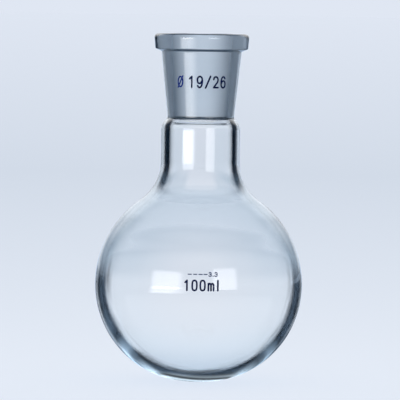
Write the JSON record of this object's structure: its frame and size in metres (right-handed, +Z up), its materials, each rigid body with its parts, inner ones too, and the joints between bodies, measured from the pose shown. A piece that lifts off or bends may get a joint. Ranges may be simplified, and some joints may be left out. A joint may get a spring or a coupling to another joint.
{
  "type": "round-bottom flask",
  "caption": "Single-neck round-bottom glass flask with a hollow spherical bulb, a short neck and a 19/26 standard-taper ground socket under a rolled collar.",
  "frame": {"origin": "the bulb's lowest point, on the flask's axis", "axes": "+Z up along the axis, from the bulb to the mouth; X and Y alike, with the marks on the side that faces -Y"},
  "size_m": [0.064, 0.064, 0.1077],
  "materials": {
    "clear_glass": "clear, fire-polished borosilicate glass",
    "ground_glass": "clear outside, finely ground matt bore"
  },
  "bodies": {
    "root": {"bulb": "clear_glass", "neck": "clear_glass", "ground_socket": "ground_glass"}
  },
  "joints": []
}
